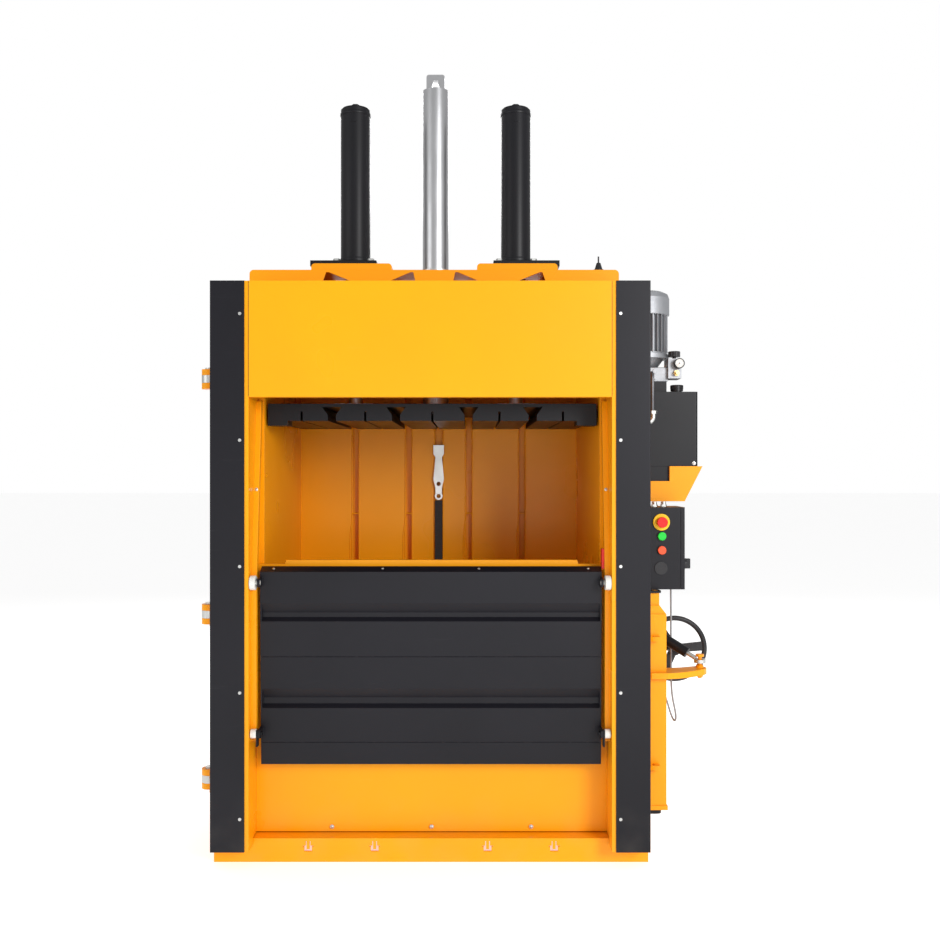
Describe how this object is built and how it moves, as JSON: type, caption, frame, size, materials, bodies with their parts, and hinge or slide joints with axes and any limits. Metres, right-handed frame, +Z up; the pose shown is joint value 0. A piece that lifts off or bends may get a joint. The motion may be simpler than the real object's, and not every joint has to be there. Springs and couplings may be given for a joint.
{
  "type": "recycling baler",
  "caption": "Upright recycling baler with a hydraulic press platen, side-hung front door with sliding gate, power pack, control box and door lock.",
  "frame": {"origin": "on the ground, on the underside of the base below the guide tube axis", "axes": "+X to the right as the user faces the machine, +Y away from the user, +Z up"},
  "size_m": [1.839, 1.0229, 2.932],
  "materials": {
    "orange_paint": "satin powder coat",
    "charcoal_paint": "satin powder coat",
    "black_paint": "satin paint",
    "zinc_steel": "zinc plated",
    "chromed_steel": "satin chrome",
    "cast_aluminium": "cast, semi matt",
    "nylon_white": "turned nylon",
    "black_plastic": "moulded",
    "red_plastic": "moulded",
    "yellow_plastic": "moulded",
    "green_plastic": "moulded",
    "brass": "machined",
    "steel_pipe": "drawn tube",
    "webbing": "woven polyester",
    "cable_grey": "soft jacket"
  },
  "bodies": {
    "frame": {"back_wall": "orange_paint", "base_frame": "orange_paint", "cable_glands": "zinc_steel", "control_box": "charcoal_paint", "cylinder_bolts": "zinc_steel", "cylinder_left": "black_paint", "cylinder_right": "black_paint", "cylinder_saddles": "orange_paint", "ejector_hook": "zinc_steel", "ejector_strap": "webbing", "fan_cowl": "cast_aluminium", "filler_cap": "black_plastic", "frame_hinge_ears": "orange_paint", "guide_sleeve": "zinc_steel", "hinge_pins": "zinc_steel", "hose_fitting": "brass", "left_wall": "orange_paint", "lock_brackets": "black_paint", "main_switch_base": "black_plastic", "motor_bell": "cast_aluminium", "motor_housing": "cast_aluminium", "oil_pipe": "steel_pipe", "oil_tank": "black_paint", "pressure_gauge": "black_plastic", "pump_block": "cast_aluminium", "right_wall": "orange_paint", "roof_bridge": "orange_paint", "roof_plug": "black_plastic", "switch_cable": "cable_grey", "tank_bracket": "orange_paint", "wheel_bracket": "black_paint"},
    "platen": {"platen": "black_paint", "piston_rods": "chromed_steel", "guide_tube": "chromed_steel"},
    "door": {"door_frame": "orange_paint", "post_covers": "charcoal_paint", "cover_screws": "zinc_steel", "lower_panel": "orange_paint", "guide_strips": "orange_paint", "door_hinge_knuckles": "orange_paint", "lock_keeper": "orange_paint", "gate_catch": "red_plastic"},
    "gate_carrier": {"gate_carriers": "black_paint"},
    "gate": {"gate_panel": "charcoal_paint"},
    "upper_roller_pair": {"upper_rollers": "nylon_white"},
    "lower_roller_pair": {"lower_rollers": "nylon_white"},
    "lock": {"lock_column": "orange_paint", "lock_fingers": "orange_paint"},
    "lock_cylinder": {"lock_barrel": "black_paint"},
    "lock_piston": {"lock_rod": "zinc_steel"},
    "wheel": {"handwheel": "black_plastic"},
    "control_door": {"box_door": "charcoal_paint", "e_stop_collar": "yellow_plastic", "buzzer": "black_plastic"},
    "stop_button": {"e_stop_button": "red_plastic"},
    "start_button": {"green_button": "green_plastic"},
    "reset_button": {"red_button": "red_plastic"},
    "switch_handle": {"main_switch_handle": "black_plastic"},
    "fan": {"cooling_fan": "black_plastic"},
    "valve_knob": {"relief_knob": "black_plastic"}
  },
  "joints": [
    {"name": "platen_press", "type": "slide", "parent": "frame", "child": "platen", "axis": [0, 0, -1], "range_m": [0, 0.56]},
    {"name": "door_swing", "type": "hinge", "parent": "frame", "child": "door", "pos_m": [-0.782, -0.44, 0.8635], "axis": [0, 0, 1], "range_deg": [-110, 0]},
    {"name": "gate_lift", "type": "slide", "parent": "door", "child": "gate_carrier", "axis": [0, 0, 1], "range_m": [0, 0.585]},
    {"name": "gate_tilt", "type": "hinge", "parent": "gate_carrier", "child": "gate", "pos_m": [0, -0.52, 0.461], "axis": [-1, 0, 0], "range_deg": [0, 8.6]},
    {"name": "upper_roll", "type": "hinge", "parent": "gate", "child": "upper_roller_pair", "pos_m": [0, -0.528, 0.982], "axis": [-1, 0, 0], "range_deg": [0, 1345]},
    {"name": "lower_roll", "type": "hinge", "parent": "gate_carrier", "child": "lower_roller_pair", "pos_m": [0, -0.52, 0.461], "axis": [-1, 0, 0], "range_deg": [0, 2100]},
    {"name": "lock_turn", "type": "hinge", "parent": "frame", "child": "lock", "pos_m": [0.792, -0.415, 0.65], "axis": [0, 0, 1], "range_deg": [-35, 0]},
    {"name": "lock_cylinder_swing", "type": "hinge", "parent": "frame", "child": "lock_cylinder", "pos_m": [0.77, -0.262, 0.8], "axis": [0.4995, -0.0364, 0.8655], "range_deg": [-18.5, 0]},
    {"name": "lock_piston_slide", "type": "slide", "parent": "lock_cylinder", "child": "lock_piston", "axis": [0.7642, -0.4521, -0.4601], "range_m": [0, 0.0575]},
    {"name": "wheel_turn", "type": "hinge", "parent": "frame", "child": "wheel", "pos_m": [0.906, -0.19, 0.697], "axis": [0, -1, 0], "continuous": true},
    {"name": "control_door_swing", "type": "hinge", "parent": "frame", "child": "control_door", "pos_m": [0.8875, -0.4005, 1.09], "axis": [0, 0, 1], "range_deg": [0, 100]},
    {"name": "stop_press", "type": "slide", "parent": "control_door", "child": "stop_button", "axis": [0, 1, 0], "range_m": [0, 0.004], "stiffness_N_per_m": 800},
    {"name": "start_press", "type": "slide", "parent": "control_door", "child": "start_button", "axis": [0, 1, 0], "range_m": [0, 0.0015], "stiffness_N_per_m": 800},
    {"name": "reset_press", "type": "slide", "parent": "control_door", "child": "reset_button", "axis": [0, 1, 0], "range_m": [0, 0.0015], "stiffness_N_per_m": 800},
    {"name": "main_switch_turn", "type": "hinge", "parent": "frame", "child": "switch_handle", "pos_m": [0.902, -0.325, 1.03], "axis": [1, 0, 0], "range_deg": [0, 90]},
    {"name": "fan_spin", "type": "hinge", "parent": "frame", "child": "fan", "pos_m": [0.799, -0.15, 1.98], "axis": [0, 0, 1], "continuous": true},
    {"name": "valve_knob_turn", "type": "hinge", "parent": "frame", "child": "valve_knob", "pos_m": [0.903, -0.206, 1.8], "axis": [0, 0, 1], "continuous": true}
  ],
  "couplings": [
    {"joint": "gate_tilt", "follows": "gate_lift", "rad_per_m": 0.25333},
    {"joint": "upper_roll", "follows": "gate_lift", "rad_per_m": 40},
    {"joint": "lower_roll", "follows": "gate_lift", "rad_per_m": 62.5},
    {"joint": "lock_cylinder_swing", "follows": "lock_turn", "ratio": 0.52286},
    {"joint": "lock_piston_slide", "follows": "lock_turn", "m_per_rad": -0.09282}
  ]
}
